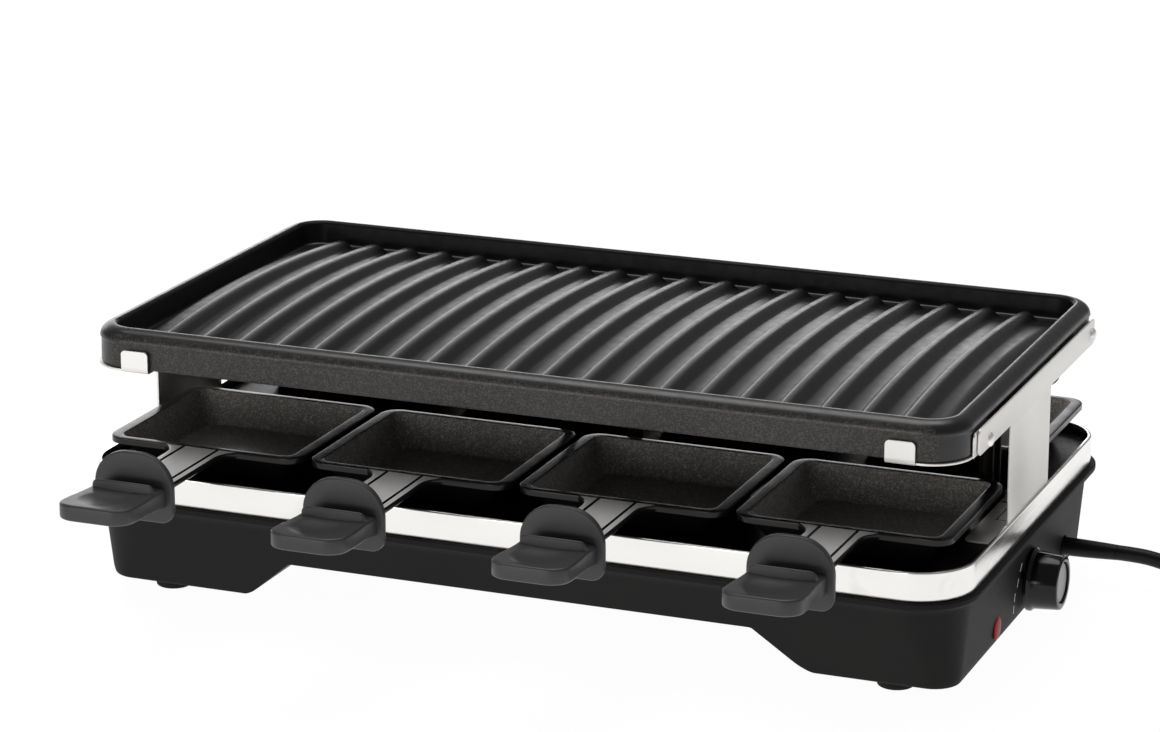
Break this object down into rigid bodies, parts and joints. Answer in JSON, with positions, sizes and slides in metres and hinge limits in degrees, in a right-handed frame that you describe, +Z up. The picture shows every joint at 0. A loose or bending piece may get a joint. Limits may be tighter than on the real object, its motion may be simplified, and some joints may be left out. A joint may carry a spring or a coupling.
{
  "type": "raclette grill",
  "caption": "Rectangular table-top raclette grill: ribbed plate on T brackets over pans on a deck, arched moulded base, knob and mains cord.",
  "frame": {"origin": "middle of the whole footprint on the table, without the free cord", "axes": "+X to the knob end, +Y to the back, +Z up"},
  "size_m": [0.5872, 0.444, 0.127],
  "materials": {
    "moulded_plastic": "fine moulded satin",
    "rubber": "matt",
    "stainless": "bright rolled stainless",
    "enamel": "black satin enamel",
    "cast_coating": "cast aluminium with a speckled non-stick coating",
    "pan_coating": "speckled non-stick coating on pressed steel",
    "grip_plastic": "matt thermoset",
    "heater_sheath": "heat-tinted steel tube",
    "painted_steel": "black paint",
    "knob_plastic": "gloss black",
    "knob_insert": "light grey satin",
    "lens_red": "clear red",
    "phenolic": "brown phenolic",
    "cord_sheath": "satin black sheath",
    "nickel": "nickel plate"
  },
  "bodies": {
    "root": {"base_housing": "moulded_plastic", "rubber_foot_1": "rubber", "rubber_foot_2": "rubber", "rubber_foot_3": "rubber", "rubber_foot_4": "rubber", "trim_ring": "stainless", "pan_deck": "enamel", "end_bracket_left": "stainless", "end_bracket_right": "stainless", "plate_carrier_left": "stainless", "plate_carrier_right": "stainless", "heating_element": "heater_sheath", "heater_support_left": "painted_steel", "heater_support_right": "painted_steel", "thermostat": "phenolic", "terminal_block": "phenolic", "lamp_holder": "phenolic", "indicator_lens": "lens_red", "cord_strain_relief": "cord_sheath", "power_cord": "cord_sheath", "cord_coil": "cord_sheath", "plug_body": "cord_sheath", "plug_pin_1": "nickel", "plug_pin_2": "nickel", "inner_lead": "cord_sheath"},
    "plate": {"grill_plate": "cast_coating"},
    "knob": {"knob_shaft": "nickel", "control_knob": "knob_plastic", "knob_insert": "knob_insert"},
    "pan_front_1": {"pan_front_1": "pan_coating", "pan_handle_front_1": "grip_plastic"},
    "pan_front_2": {"pan_front_2": "pan_coating", "pan_handle_front_2": "grip_plastic"},
    "pan_front_3": {"pan_front_3": "pan_coating", "pan_handle_front_3": "grip_plastic"},
    "pan_front_4": {"pan_front_4": "pan_coating", "pan_handle_front_4": "grip_plastic"},
    "pan_back_1": {"pan_back_1": "pan_coating", "pan_handle_back_1": "grip_plastic"},
    "pan_back_2": {"pan_back_2": "pan_coating", "pan_handle_back_2": "grip_plastic"},
    "pan_back_3": {"pan_back_3": "pan_coating", "pan_handle_back_3": "grip_plastic"},
    "pan_back_4": {"pan_back_4": "pan_coating", "pan_handle_back_4": "grip_plastic"}
  },
  "joints": [
    {"name": "plate_lift", "type": "slide", "parent": "root", "child": "plate", "axis": [0, 0, 1], "range_m": [0, 0.12]},
    {"name": "knob_turn", "type": "hinge", "parent": "root", "child": "knob", "pos_m": [0.20324, -0.001, 0.021], "axis": [1, 0, 0], "range_deg": [-270, 0]},
    {"name": "pan_front_1_draw", "type": "slide", "parent": "root", "child": "pan_front_1", "axis": [0, -0.9659, 0.2588], "range_m": [0, 0.12]},
    {"name": "pan_front_2_draw", "type": "slide", "parent": "root", "child": "pan_front_2", "axis": [0, -0.9659, 0.2588], "range_m": [0, 0.12]},
    {"name": "pan_front_3_draw", "type": "slide", "parent": "root", "child": "pan_front_3", "axis": [0, -0.9659, 0.2588], "range_m": [0, 0.12]},
    {"name": "pan_front_4_draw", "type": "slide", "parent": "root", "child": "pan_front_4", "axis": [0, -0.9659, 0.2588], "range_m": [0, 0.12]},
    {"name": "pan_back_1_draw", "type": "slide", "parent": "root", "child": "pan_back_1", "axis": [0, 0.9239, 0.3827], "range_m": [0, 0.085]},
    {"name": "pan_back_2_draw", "type": "slide", "parent": "root", "child": "pan_back_2", "axis": [0, 0.9239, 0.3827], "range_m": [0, 0.085]},
    {"name": "pan_back_3_draw", "type": "slide", "parent": "root", "child": "pan_back_3", "axis": [0, 0.9239, 0.3827], "range_m": [0, 0.085]},
    {"name": "pan_back_4_draw", "type": "slide", "parent": "root", "child": "pan_back_4", "axis": [0, 0.9239, 0.3827], "range_m": [0, 0.085]}
  ]
}
